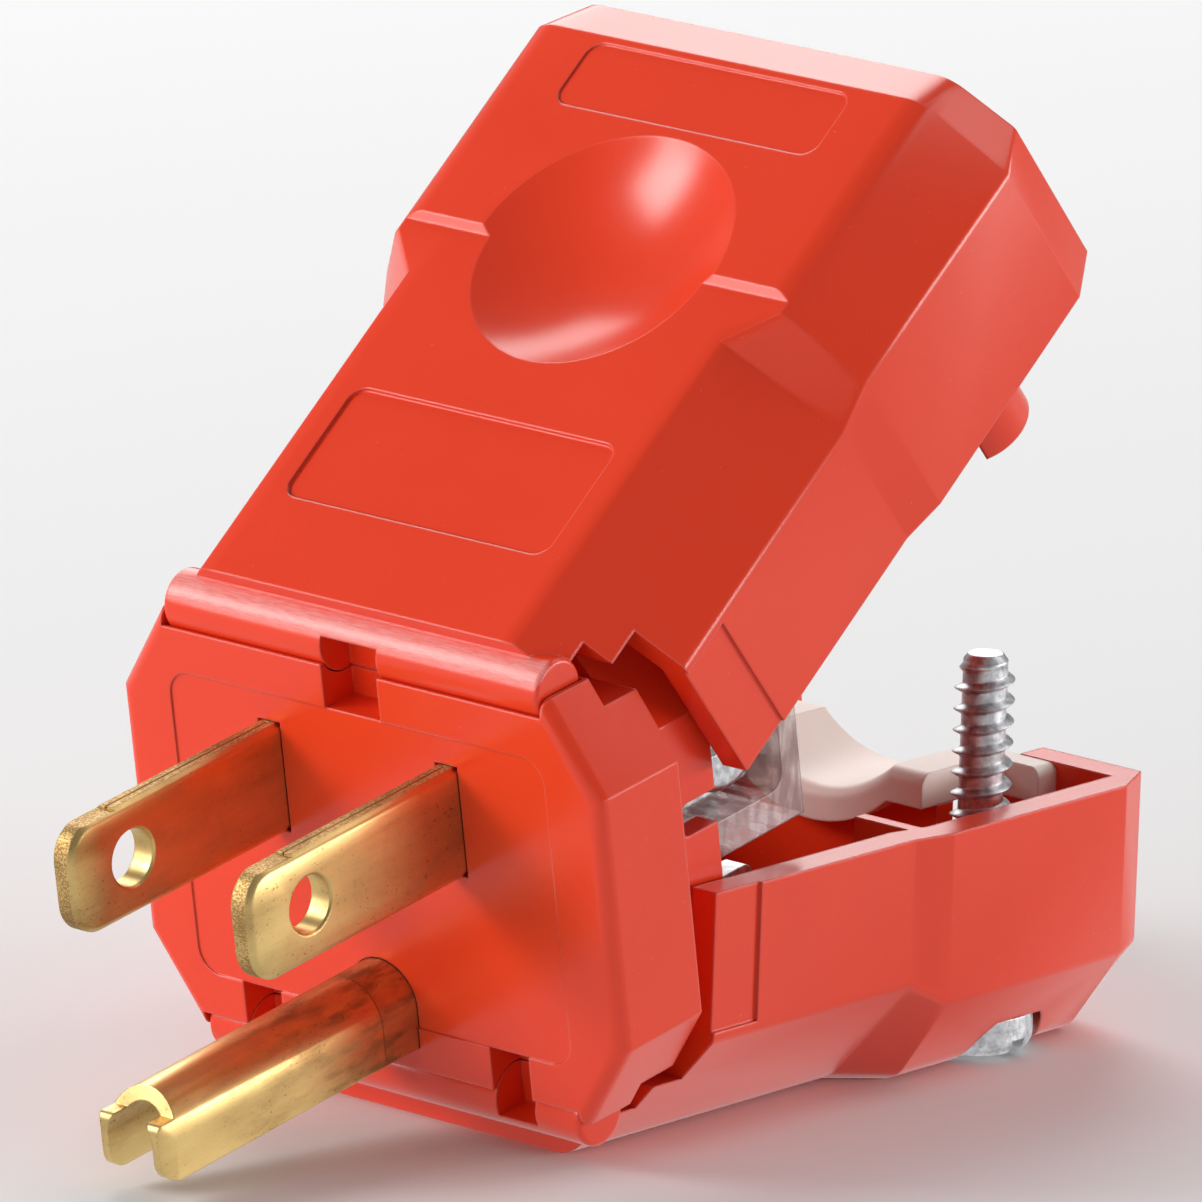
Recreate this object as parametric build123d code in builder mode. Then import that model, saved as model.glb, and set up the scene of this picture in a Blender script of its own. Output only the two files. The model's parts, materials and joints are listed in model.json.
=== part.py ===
"""Straight blade plug with a hinged housing: a front face with two blades and a ground pin, and two half
shells that swing open on the face like jaws. Every piece is drawn in the frame of the closed plug (X across,
Y back from the front of the face, Z up from the parting plane, millimetres) and is then set open, standing
on the lower half.
"""
import os

from build123d import *

os.makedirs("parts", exist_ok=True)

# Blades, each a strip folded over along its lower edge
BLADE_SPACING = 12.7
BLADE_WIDTH = 6.35
BLADE_THICKNESS = 1.52
BLADE_LENGTH = 16.9
BLADE_TIP_ROUND = 2.0
BLADE_TIP_BEVEL = 0.3
BLADE_NICK_FROM_TIP = 3.9
BLADE_NICK_DEPTH = 0.15
BLADE_SEAM_WIDTH = 0.12
BLADE_SEAM_DEPTH = 0.2
BLADE_HOLE_DIAMETER = 3.2
BLADE_HOLE_BEVEL = 0.12
BLADE_HOLE_FROM_FACE = 12.1
BLADE_RISE = 4.1
STRIP_WIDTH = 8.0

# Ground pin, a strip folded to a U that is open below
PIN_DROP = 11.89
PIN_WIDTH = 4.8
PIN_WALL = 0.8
PIN_LEG = 2.3
PIN_LENGTH = 20.4
PIN_CROWN_CUT = 1.8
PIN_CROWN_BASE = 1.1
PIN_CROWN_RAMP = 0.5
PIN_PRONG_TOP_ROUND = 0.4
PIN_PRONG_LOW_ROUND = 1.2
PIN_BEVEL_DEPTH = 0.33
PIN_BEVEL_LENGTH = 1.0
GROUND_STRIP_THICKNESS = 1.0
GROUND_STRIP_WIDTH = 6.0
GROUND_STRIP_SHIFT = 0.05
GROUND_STRIP_CLEARANCE = 0.3

# Front face
FACE_HALF_WIDTH = 17.2
FACE_HALF_HEIGHT = 12.4
FACE_CORNER_RUN = 3.4
FACE_CORNER_DROP = 5.1
FLANGE_DEPTH = 6.5
FACE_ROUND = 0.9
PANEL_SIDE_MARGIN = 3.8
PANEL_TOP_MARGIN = 3.45
PANEL_ROUND = 1.5
PANEL_DEPTH = 0.1
LEDGE_DROP = 0.95
NOTCH_DEPTH = 2.4
NOTCH_RISE = 0.7
TOP_NOTCH_HALF = 2.0
LOW_NOTCH_INNER = 7.5
LOW_NOTCH_OUTER = 10.3
EAR_DEPTH = 3.85
EAR_DROP = 1.4
COLLAR_BACK = 12.4
COLLAR_WALL = 1.5
COLLAR_DROP = 0.3
COLLAR_WINDOW_LOW = 1.0
COLLAR_WINDOW_HIGH = 2.9
COLLAR_WINDOW_FRONT = 9.5
COLLAR_WINDOW_ROUND = 0.6
COLLAR_CLEARANCE = 0.4
SLOT_CLEARANCE = 0.05

# Hinges
HINGE_Y = 1.9
HINGE_INSET = 0.05
HINGE_CHEEK = 0.4
BARREL_RADIUS = 1.8
BARREL_ROUND = 0.3
HINGE_CLEARANCE = 0.08
HINGE_END_CLEARANCE = 0.15
UPPER_OPEN = 29.8
LOWER_OPEN = 10.75

# Housing halves: a waist in front, a wider rear, a bevelled end and sloped shoulders along both sides
HOUSING_RISE = 2.9
WAIST = 0.6
FRONT_SLOPE_RUN = 5.7
FRONT_SLOPE_DROP = 6.6
REAR_SLOPE_RUN = 3.6
REAR_SLOPE_DROP = 5.2
END_INSET = 1.4
END_DROP = 1.6
END_SLOPE_RUN = 2.9
END_SLOPE_DROP = 3.5
FLAT_ROUND = 2.2
SIDE_ROUND = 0.7
WALL = 1.9
END_WALL = 2.0
PARTING_DROP = 0.3
PARTING_GAP = 0.15
PLATE_FRONT = 2.45
PLATE_CLEARANCE = 0.25
TAB_FRONT = 5.0
EAR_CLEARANCE = 0.2
FLANGE_CLEARANCE = 0.8
SHOULDER_START = 23.9
SHOULDER_END = 26.5
BEVEL_START = 41.5
HOUSING_END = 44.5
SIDE_STEP_LENGTH = 3.6
SIDE_STEP_DEPTH = 0.2
SIDE_STEP_MARGIN = 0.5
TOP_STEP_LEAD = 0.3
TOP_STEP_RAMP = 0.45
TOP_STEP_DEPTH = 0.35
DIMPLE_Y = 27.6
DIMPLE_RADIUS = 8.2
DIMPLE_DEPTH = 2.3
LABEL_WIDTH = 18.8
LABEL_FRONT = 8.2
LABEL_BACK = 16.0
LABEL_DEPTH = 0.2
FRAME_WIDTH = 18.5
FRAME_LENGTH = 4.5
FRAME_MARGIN = 0.5
FRAME_DEPTH = 0.12
LABEL_ROUND = 1.0
CORD_HOLE_RADIUS = 8.8
BULKHEAD_Y = 25.6
BULKHEAD_THICKNESS = 0.9
BULKHEAD_REACH = 3.5
BULKHEAD_OPENING_HEIGHT = 10.4
GRIP_RIB_FROM_END = 4.5
GRIP_RIB_THICKNESS = 1.2
GRIP_RIB_RADIUS = 7.0
GRIP_RIB_CLEARANCE = 1.55

# Assembly screws and the bosses that take them
SCREW_FROM_SIDE = 5.3
SCREW_FROM_END = 9.3
SCREW_DIAMETER = 3.5
SCREW_RISE = 7.2
SCREW_TIP_BEVEL = 0.5
SCREW_HOLE_CLEARANCE = 0.2
HEAD_DIAMETER = 6.8
HEAD_HEIGHT = 2.2
HEAD_ROUND = 0.9
HEAD_RECESS = 0.15
HEAD_SLOT_WIDTH = 1.0
HEAD_SLOT_DEPTH = 0.9
COUNTERBORE_CLEARANCE = 0.4
BOSS_RADIUS = 2.9
BOSS_DROP = 5.0
BOSS_GAP = 0.5
BOSS_FOOT_WALL = 1.1
BOSS_FLOOR = 1.5
BOSS_SLOT_CLEARANCE = 0.15

# Cord clamp, a saddle with two wings at its back
CLAMP_SIDE_GAP = 1.1
CLAMP_WING_INSET = 0.5
CLAMP_DEPTH = 7.5
CLAMP_WING_DEPTH = 1.6
CLAMP_DROP = 0.5
CLAMP_THICKNESS = 2.0
CLAMP_ROUND = 0.8
CLAMP_END_ROUND = 0.6
SADDLE_HALF_WIDTH = 5.4
SADDLE_DEPTH = 2.1
CLAMP_RIB_THICKNESS = 1.4

# Clear terminal block and the three wire terminals
BLOCK_CLEARANCE = 0.1
BLOCK_BOTTOM = -2.2
BLOCK_TOP = 8.9
BLOCK_BACK = 21.2
BLOCK_END_WALL = 1.5
TERMINAL_Y = 15.5
CAVITY_FRONT = 10.9
CAVITY_HALF_HEIGHT = 4.2
CAVITY_ROUND = 1.1
WIRE_GAP = 2.2
WIRE_HOLE_HEIGHT = 5.0
WIRE_MOUTH = 1.0
CLAMP_PLATE_SIZE = 7.4
CLAMP_PLATE_THICKNESS = 1.4
CLAMP_PLATE_ROUND = 0.6
TERMINAL_SCREW_DIAMETER = 3.4
TERMINAL_SCREW_REACH = 1.2
TERMINAL_HEAD_DIAMETER = 5.8
TERMINAL_HEAD_HEIGHT = 1.9
TERMINAL_HEAD_ROUND = 0.6
TERMINAL_SLOT_WIDTH = 0.9
TERMINAL_SLOT_DEPTH = 0.8
TERMINAL_FIT = 0.04
GROUND_CLAMP_SIZE = 5.8

# Place of the origin behind the front face
ORIGIN_Y = 11.2

# Larger than the plug, for cuts that pass right through it
THROUGH = 60

# Places and levels that follow from the sizes above
BLADE_X = BLADE_SPACING / 2
PIN_Z = BLADE_RISE - PIN_DROP
GROUND_STRIP_X = BLADE_X + GROUND_STRIP_SHIFT
FACE_SIDE_HALF = FACE_HALF_HEIGHT - FACE_CORNER_DROP
FACE_FLAT_HALF = FACE_HALF_WIDTH - FACE_CORNER_RUN
PANEL_HALF_WIDTH = FACE_HALF_WIDTH - PANEL_SIDE_MARGIN
PANEL_HALF_HEIGHT = FACE_HALF_HEIGHT - PANEL_TOP_MARGIN
LEDGE_HEIGHT = FACE_HALF_HEIGHT - LEDGE_DROP
EAR_HEIGHT = FACE_HALF_HEIGHT - EAR_DROP
COLLAR_HALF_HEIGHT = FACE_HALF_HEIGHT - COLLAR_DROP
COLLAR_FLOOR = COLLAR_WALL - COLLAR_HALF_HEIGHT
GROUND_TERMINAL_Z = COLLAR_FLOOR + GROUND_STRIP_CLEARANCE + GROUND_STRIP_WIDTH / 2
HINGE_Z = FACE_HALF_HEIGHT - HINGE_INSET
BARREL_HALF_LENGTH = FACE_FLAT_HALF - HINGE_CHEEK
TOP = FACE_HALF_HEIGHT + HOUSING_RISE
FRONT_TOP = TOP - TOP_STEP_DEPTH
PLATE_UNDERSIDE = FACE_HALF_HEIGHT + PLATE_CLEARANCE
TAB_HEIGHT = EAR_HEIGHT + EAR_CLEARANCE
SIDE_FRONT = FLANGE_DEPTH + FLANGE_CLEARANCE
SIDE_STEP_Y = SIDE_FRONT + SIDE_STEP_LENGTH
TOP_STEP_Y = DIMPLE_Y - TOP_STEP_LEAD
FRAME_BACK = BEVEL_START - FRAME_MARGIN
UPPER_RIM = PARTING_GAP - PARTING_DROP
LOWER_RIM = -PARTING_GAP - PARTING_DROP
SCREW_X = FACE_HALF_WIDTH - SCREW_FROM_SIDE
SCREW_Y = HOUSING_END - SCREW_FROM_END
BOSS_TOP = -BOSS_DROP - BOSS_GAP
HEAD_SEAT = -TOP + HEAD_RECESS + HEAD_HEIGHT
COUNTERBORE_RADIUS = HEAD_DIAMETER / 2 + COUNTERBORE_CLEARANCE
GRIP_RIB_Y = HOUSING_END - GRIP_RIB_FROM_END
GRIP_RIB_HALF_WIDTH = SCREW_X - SCREW_DIAMETER / 2 - GRIP_RIB_CLEARANCE
CLAMP_HALF_WIDTH = SCREW_X - BOSS_RADIUS - CLAMP_SIDE_GAP
CLAMP_WING_HALF = SCREW_X - CLAMP_WING_INSET
CLAMP_BACK = HOUSING_END - END_WALL
CLAMP_FRONT = CLAMP_BACK - CLAMP_DEPTH
CLAMP_UNDERSIDE = -CLAMP_DROP - CLAMP_THICKNESS

# Sections of the housing: half-width, height of the side, half-width of the flat, height of the flat
FRONT_WIDTH = FACE_HALF_WIDTH - WAIST
END_WIDTH = FACE_HALF_WIDTH - END_INSET
END_TOP = TOP - END_DROP
SECTION_FRONT = (FRONT_WIDTH, TOP - FRONT_SLOPE_DROP, FRONT_WIDTH - FRONT_SLOPE_RUN, TOP)
SECTION_REAR = (FACE_HALF_WIDTH, TOP - REAR_SLOPE_DROP, FACE_HALF_WIDTH - REAR_SLOPE_RUN, TOP)
SECTION_END = (END_WIDTH, END_TOP - END_SLOPE_DROP, END_WIDTH - END_SLOPE_RUN, END_TOP)


def inset(section, depth):
    """The section moved inwards by a wall or a clearance."""
    half_width, side, flat, top = section
    run = half_width - flat
    rise = top - side
    slope = (run ** 2 + rise ** 2) ** 0.5
    level = rise * half_width + run * side - depth * slope
    width = half_width - depth
    height = top - depth
    return (width, (level - rise * width) / run, (level - run * height) / rise, height)


def half_section(y, section, base, rounded=True):
    """The upper half of the plug's section at depth y, closed by a straight edge at height base."""
    width, side, flat, top = section
    with BuildSketch(Plane.XZ.offset(-y)) as outline:
        with BuildLine():
            Polyline(
                (-width, base),
                (-width, side),
                (-flat, top),
                (flat, top),
                (width, side),
                (width, base),
                close=True,
            )
        make_face()
        if rounded:
            fillet(outline.vertices().group_by(Axis.Y)[-1], FLAT_ROUND)
            fillet(outline.vertices().group_by(Axis.Y)[1], SIDE_ROUND)
    return outline.sketch


def octagon(y, section):
    """The whole eight-sided section at depth y."""
    width, side, flat, top = section
    right = [(flat, top), (width, side), (width, -side), (flat, -top)]
    left = [(-x, z) for x, z in reversed(right)]
    with BuildSketch(Plane.XZ.offset(-y)) as outline:
        with BuildLine():
            Polyline(*right, *left, close=True)
        make_face()
    return outline.sketch


def saddle_section(y, half_width, height):
    """Section at depth y of what fills the lower half up to a level with the cord's round dip in it."""
    with BuildSketch(Plane.XZ.offset(-y)) as outline:
        with BuildLine():
            dip = ThreePointArc(
                (-SADDLE_HALF_WIDTH, height),
                (0, height - SADDLE_DEPTH),
                (SADDLE_HALF_WIDTH, height),
            )
            Polyline(
                dip @ 0,
                (-half_width, height),
                (-half_width, -TOP),
                (half_width, -TOP),
                (half_width, height),
                dip @ 1,
            )
        make_face()
    return outline.sketch


def collar_ring(outer, core):
    """Section of the collar behind the flange, with room for the terminal block."""
    with BuildSketch(Plane.XZ.offset(-COLLAR_BACK)) as space:
        add(octagon(COLLAR_BACK, core))
        Rectangle(THROUGH, -2 * COLLAR_FLOOR, mode=Mode.INTERSECT)
        with Locations((0, (BLOCK_TOP + BLOCK_BOTTOM) / 2)):
            Rectangle(2 * core[0], BLOCK_TOP - BLOCK_BOTTOM + 2 * BLOCK_CLEARANCE)
    with BuildSketch(Plane.XZ.offset(-COLLAR_BACK)) as ring:
        add(octagon(COLLAR_BACK, outer))
        Rectangle(THROUGH, 2 * COLLAR_HALF_HEIGHT, mode=Mode.INTERSECT)
        add(space.sketch, mode=Mode.SUBTRACT)
    return ring.sketch


def turn_about(hinge_height, angle):
    """A turn about the hinge line at that height, which runs along X."""
    return Pos(0, HINGE_Y, hinge_height) * Rot(angle, 0, 0) * Pos(0, -HINGE_Y, -hinge_height)


# The finished plug stands on the lower half, with the origin on its underside in front of the dimple
STAND = Pos(0, -ORIGIN_Y, TOP)
FACE_PLACE = STAND * turn_about(-HINGE_Z, LOWER_OPEN)
UPPER_PLACE = FACE_PLACE * turn_about(HINGE_Z, UPPER_OPEN)


def finish(piece, name, place):
    """Set a finished piece in its place and write it."""
    piece.part.move(place)
    piece.part.label = name
    export_step(piece.part, f"parts/{name}.step")


# Front face: flange, panel, hinge cradles, notches, blade slots and the collar that enters the housing
collar_section = inset(SECTION_FRONT, WALL + COLLAR_CLEARANCE)
collar_core = inset(collar_section, COLLAR_WALL)
block_half_width = collar_core[0] - BLOCK_CLEARANCE
with BuildPart() as front_face:
    face_section = (FACE_HALF_WIDTH, FACE_SIDE_HALF, FACE_FLAT_HALF, FACE_HALF_HEIGHT)
    extrude(octagon(FLANGE_DEPTH, face_section), amount=FLANGE_DEPTH)
    fillet(front_face.faces().sort_by(Axis.Y)[0].edges(), FACE_ROUND)
    with BuildSketch(Plane.XZ):
        RectangleRounded(2 * PANEL_HALF_WIDTH, 2 * PANEL_HALF_HEIGHT, PANEL_ROUND)
    extrude(amount=-PANEL_DEPTH, mode=Mode.SUBTRACT)
    # collar behind the flange, open at its sides beside the terminals
    extrude(collar_ring(collar_section, collar_core), amount=COLLAR_BACK - FLANGE_DEPTH)
    window_height = COLLAR_WINDOW_HIGH - COLLAR_WINDOW_LOW
    window_depth = COLLAR_BACK - COLLAR_WINDOW_FRONT
    with BuildSketch(Plane.YZ):
        with Locations((COLLAR_BACK, (COLLAR_WINDOW_HIGH + COLLAR_WINDOW_LOW) / 2)):
            RectangleRounded(2 * window_depth, window_height, COLLAR_WINDOW_ROUND)
    extrude(amount=THROUGH, both=True, mode=Mode.SUBTRACT)
    # cradles for the hinge barrels, a low ledge in front of each, and the flange cut back beside their ends
    groove_half = BARREL_HALF_LENGTH + HINGE_END_CLEARANCE
    for side in (1, -1):
        with BuildSketch(Plane.YZ):
            with Locations((HINGE_Y, side * HINGE_Z)):
                Circle(BARREL_RADIUS + HINGE_CLEARANCE)
            with Locations((0, side * LEDGE_HEIGHT)):
                Rectangle(HINGE_Y, THROUGH, align=(Align.MIN, Align.MIN if side > 0 else Align.MAX))
        extrude(amount=groove_half, both=True, mode=Mode.SUBTRACT)
        ear_height = side * EAR_HEIGHT
        with Locations((groove_half, EAR_DEPTH, ear_height), (-groove_half, EAR_DEPTH, ear_height)):
            Box(
                2 * (FACE_HALF_WIDTH - groove_half),
                FLANGE_DEPTH - EAR_DEPTH,
                THROUGH,
                align=(Align.CENTER, Align.MIN, Align.MIN if side > 0 else Align.MAX),
                mode=Mode.SUBTRACT,
            )
    # finger notches, one above and two below
    low_notch_x = (LOW_NOTCH_INNER + LOW_NOTCH_OUTER) / 2
    low_notch_width = LOW_NOTCH_OUTER - LOW_NOTCH_INNER
    for x, width, side in (
        (0, 2 * TOP_NOTCH_HALF, 1),
        (-low_notch_x, low_notch_width, -1),
        (low_notch_x, low_notch_width, -1),
    ):
        with Locations((x, 0, side * PANEL_HALF_HEIGHT)):
            Box(
                width,
                NOTCH_DEPTH,
                FACE_HALF_HEIGHT,
                align=(Align.CENTER, Align.MIN, Align.MIN if side > 0 else Align.MAX),
                mode=Mode.SUBTRACT,
            )
    # slots for the blades and the pin
    with BuildSketch(Plane.XZ):
        with Locations((-BLADE_X, BLADE_RISE), (BLADE_X, BLADE_RISE)):
            Rectangle(BLADE_THICKNESS + 2 * SLOT_CLEARANCE, BLADE_WIDTH + 2 * SLOT_CLEARANCE)
        with Locations((0, PIN_Z)):
            Circle(PIN_WIDTH / 2 + SLOT_CLEARANCE)
            Rectangle(
                PIN_WIDTH + 2 * SLOT_CLEARANCE,
                PIN_LEG + SLOT_CLEARANCE,
                align=(Align.CENTER, Align.MAX),
            )
    extrude(amount=-THROUGH, mode=Mode.SUBTRACT)
finish(front_face, "front_face", FACE_PLACE)


# Blades: folded strips with rounded tips and a hole, wider behind the face where they carry the terminals
nick_y = BLADE_NICK_FROM_TIP - BLADE_LENGTH
blade_top = BLADE_RISE + BLADE_WIDTH / 2
for blade_name, blade_side in (("line_blade", -1), ("neutral_blade", 1)):
    with BuildPart() as blade:
        blade_plane = Plane.YZ.offset(blade_side * BLADE_X)
        with BuildSketch(blade_plane):
            with Locations((FLANGE_DEPTH, BLADE_RISE)):
                Rectangle(BLADE_LENGTH + FLANGE_DEPTH, BLADE_WIDTH, align=(Align.MAX, Align.CENTER))
        extrude(amount=BLADE_THICKNESS / 2, both=True)
        tip_corners = blade.edges().filter_by(Axis.X).group_by(Axis.Y)[0]
        fillet(tip_corners, BLADE_TIP_ROUND)
        tip_face = blade.faces().sort_by(Axis.Y)[0]
        chamfer(tip_face.edges().filter_by(Axis.Z), BLADE_TIP_BEVEL)
        with BuildSketch(blade_plane):
            with Locations((FLANGE_DEPTH, BLADE_RISE)):
                Rectangle(
                    BLOCK_BACK - BLOCK_END_WALL - FLANGE_DEPTH,
                    STRIP_WIDTH,
                    align=(Align.MIN, Align.CENTER),
                )
        extrude(amount=BLADE_THICKNESS / 2, both=True)
        with BuildSketch(blade_plane):
            with Locations((-BLADE_HOLE_FROM_FACE, BLADE_RISE)):
                Circle(BLADE_HOLE_DIAMETER / 2)
            with Locations((TERMINAL_Y, BLADE_RISE)):
                Circle(TERMINAL_SCREW_DIAMETER / 2 + TERMINAL_FIT)
        extrude(amount=BLADE_THICKNESS, both=True, mode=Mode.SUBTRACT)
        hole_rims = blade.edges().filter_by(GeomType.CIRCLE).filter_by(
            lambda edge: abs(edge.radius - BLADE_HOLE_DIAMETER / 2) < BLADE_HOLE_BEVEL and edge.center().Y < 0
        )
        chamfer(hole_rims, BLADE_HOLE_BEVEL)
        with BuildSketch(blade_plane):
            with Locations((nick_y, blade_top)):
                Rectangle(BLADE_LENGTH, 2 * BLADE_NICK_DEPTH, align=(Align.MAX, Align.CENTER))
        extrude(amount=BLADE_THICKNESS, both=True, mode=Mode.SUBTRACT)
        with BuildSketch(blade_plane):
            with Locations((nick_y, blade_top)):
                Rectangle(-nick_y, 2 * BLADE_SEAM_DEPTH, align=(Align.MIN, Align.CENTER))
        extrude(amount=BLADE_SEAM_WIDTH / 2, both=True, mode=Mode.SUBTRACT)
    finish(blade, blade_name, FACE_PLACE)


# Ground pin: U-shaped, its crown cut back at the tip to leave two flat prongs, with a bent strip behind
with BuildPart() as ground_pin:
    with BuildSketch(Plane.XZ.offset(-FLANGE_DEPTH)):
        with Locations((0, PIN_Z)):
            Circle(PIN_WIDTH / 2)
            Rectangle(PIN_WIDTH, PIN_LEG, align=(Align.CENTER, Align.MAX))
            Circle(PIN_WIDTH / 2 - PIN_WALL, mode=Mode.SUBTRACT)
            Rectangle(
                PIN_WIDTH - 2 * PIN_WALL,
                PIN_WIDTH,
                align=(Align.CENTER, Align.MAX),
                mode=Mode.SUBTRACT,
            )
    extrude(amount=FLANGE_DEPTH + PIN_LENGTH)
    with BuildSketch(Plane.YZ):
        crown_base = PIN_Z + PIN_CROWN_BASE
        with BuildLine():
            Polyline(
                (-PIN_LENGTH - PIN_WALL, crown_base),
                (-PIN_LENGTH + PIN_CROWN_CUT - PIN_CROWN_RAMP, crown_base),
                (-PIN_LENGTH + PIN_CROWN_CUT, PIN_Z + PIN_WIDTH / 2),
                (-PIN_LENGTH + PIN_CROWN_CUT, PIN_Z + PIN_WIDTH),
                (-PIN_LENGTH - PIN_WALL, PIN_Z + PIN_WIDTH),
                close=True,
            )
        make_face()
    extrude(amount=PIN_WIDTH, both=True, mode=Mode.SUBTRACT)
    prong_corners = ground_pin.edges().filter_by(Axis.X).group_by(Axis.Y)[0].group_by(Axis.Z)
    fillet(prong_corners[-1], PIN_PRONG_TOP_ROUND)
    fillet(prong_corners[0], PIN_PRONG_LOW_ROUND)
    with BuildSketch(Plane.XY.offset(PIN_Z)):
        for side in (1, -1):
            with BuildLine():
                Polyline(
                    (side * (PIN_WIDTH / 2 - PIN_BEVEL_DEPTH), -PIN_LENGTH),
                    (side * PIN_WIDTH / 2, -PIN_LENGTH + PIN_BEVEL_LENGTH),
                    (side * PIN_WIDTH, -PIN_LENGTH),
                    close=True,
                )
            make_face()
    extrude(amount=PIN_WIDTH, both=True, mode=Mode.SUBTRACT)
    with Locations((-PIN_WIDTH / 2, FLANGE_DEPTH, GROUND_TERMINAL_Z)):
        Box(
            GROUND_STRIP_X + GROUND_STRIP_THICKNESS + PIN_WIDTH / 2,
            GROUND_STRIP_THICKNESS,
            GROUND_STRIP_WIDTH,
            align=(Align.MIN, Align.MIN, Align.CENTER),
        )
    with Locations((GROUND_STRIP_X, FLANGE_DEPTH, GROUND_TERMINAL_Z)):
        Box(
            GROUND_STRIP_THICKNESS,
            TERMINAL_Y + GROUND_CLAMP_SIZE / 2 - FLANGE_DEPTH,
            GROUND_STRIP_WIDTH,
            align=(Align.MIN, Align.MIN, Align.CENTER),
        )
    with BuildSketch(Plane.YZ.offset(GROUND_STRIP_X)):
        with Locations((TERMINAL_Y, GROUND_TERMINAL_Z)):
            Circle(TERMINAL_SCREW_DIAMETER / 2 + TERMINAL_FIT)
    extrude(amount=GROUND_STRIP_THICKNESS, mode=Mode.SUBTRACT)
finish(ground_pin, "ground_pin", FACE_PLACE)


# Wire terminals: a clamp plate and a screw on the outer side of each strip
strip_face = BLADE_X + BLADE_THICKNESS / 2
ground_face = GROUND_STRIP_X + GROUND_STRIP_THICKNESS
for terminal, side, seat, strip, height, size in (
    ("line", -1, strip_face, BLADE_THICKNESS, BLADE_RISE, CLAMP_PLATE_SIZE),
    ("neutral", 1, strip_face, BLADE_THICKNESS, BLADE_RISE, CLAMP_PLATE_SIZE),
    ("ground", 1, ground_face, GROUND_STRIP_THICKNESS, GROUND_TERMINAL_Z, GROUND_CLAMP_SIZE),
):
    plate_seat = seat + WIRE_GAP
    head_seat = plate_seat + CLAMP_PLATE_THICKNESS
    outward = Plane(origin=(0, TERMINAL_Y, height), x_dir=(0, 1, 0), z_dir=(side, 0, 0))
    with BuildPart() as clamp_plate:
        with BuildSketch(outward.offset(plate_seat)):
            RectangleRounded(size, size, CLAMP_PLATE_ROUND)
            Circle(TERMINAL_SCREW_DIAMETER / 2 + TERMINAL_FIT, mode=Mode.SUBTRACT)
        extrude(amount=CLAMP_PLATE_THICKNESS)
    finish(clamp_plate, f"{terminal}_clamp_plate", FACE_PLACE)
    with BuildPart() as terminal_screw:
        with BuildSketch(outward.offset(head_seat)):
            Circle(TERMINAL_HEAD_DIAMETER / 2)
        extrude(amount=TERMINAL_HEAD_HEIGHT)
        fillet(terminal_screw.faces().sort_by(Axis.X)[-1 if side > 0 else 0].edges(), TERMINAL_HEAD_ROUND)
        with BuildSketch(outward.offset(head_seat + TERMINAL_HEAD_HEIGHT)):
            Rectangle(TERMINAL_HEAD_DIAMETER, TERMINAL_SLOT_WIDTH)
        extrude(amount=-TERMINAL_SLOT_DEPTH, mode=Mode.SUBTRACT)
        with BuildSketch(outward.offset(head_seat)):
            Circle(TERMINAL_SCREW_DIAMETER / 2)
        extrude(amount=-(CLAMP_PLATE_THICKNESS + WIRE_GAP + strip + TERMINAL_SCREW_REACH))
    finish(terminal_screw, f"{terminal}_terminal_screw", FACE_PLACE)


# Clear block that holds the blade strips, with a terminal pocket and a wire hole on each side
with BuildPart() as terminal_block:
    with Locations((0, FLANGE_DEPTH, BLOCK_BOTTOM)):
        Box(
            2 * block_half_width,
            BLOCK_BACK - FLANGE_DEPTH,
            BLOCK_TOP - BLOCK_BOTTOM,
            align=(Align.CENTER, Align.MIN, Align.MIN),
        )
    pocket_back = BLOCK_BACK - BLOCK_END_WALL
    for side in (1, -1):
        outward = Plane(origin=(0, 0, BLADE_RISE), x_dir=(0, 1, 0), z_dir=(side, 0, 0))
        with BuildSketch(outward.offset(strip_face)):
            with Locations(((CAVITY_FRONT + pocket_back) / 2, 0)):
                RectangleRounded(pocket_back - CAVITY_FRONT, 2 * CAVITY_HALF_HEIGHT, CAVITY_ROUND)
        extrude(amount=THROUGH, mode=Mode.SUBTRACT)
        with BuildSketch(outward.offset(strip_face + SLOT_CLEARANCE)):
            with Locations((FLANGE_DEPTH, 0)):
                Rectangle(
                    pocket_back - FLANGE_DEPTH + SLOT_CLEARANCE,
                    STRIP_WIDTH + 2 * SLOT_CLEARANCE,
                    align=(Align.MIN, Align.CENTER),
                )
        extrude(amount=-(BLADE_THICKNESS + 2 * SLOT_CLEARANCE), mode=Mode.SUBTRACT)
        with BuildSketch(outward.offset(strip_face)):
            with Locations((TERMINAL_Y, 0)):
                Circle(TERMINAL_SCREW_DIAMETER / 2 + SCREW_HOLE_CLEARANCE)
        extrude(amount=-(BLADE_THICKNESS + 2 * TERMINAL_SCREW_REACH), mode=Mode.SUBTRACT)
        wire_x = side * (strip_face + WIRE_GAP / 2)
        with BuildSketch(Plane.XZ.offset(-BLOCK_BACK)):
            with Locations((wire_x, BLADE_RISE)):
                Rectangle(WIRE_GAP + 2 * WIRE_MOUTH, WIRE_HOLE_HEIGHT + 2 * WIRE_MOUTH)
        with BuildSketch(Plane.XZ.offset(-pocket_back)):
            with Locations((wire_x, BLADE_RISE)):
                Rectangle(WIRE_GAP, WIRE_HOLE_HEIGHT)
        loft(ruled=True, mode=Mode.SUBTRACT)
finish(terminal_block, "terminal_block", FACE_PLACE)


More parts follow.
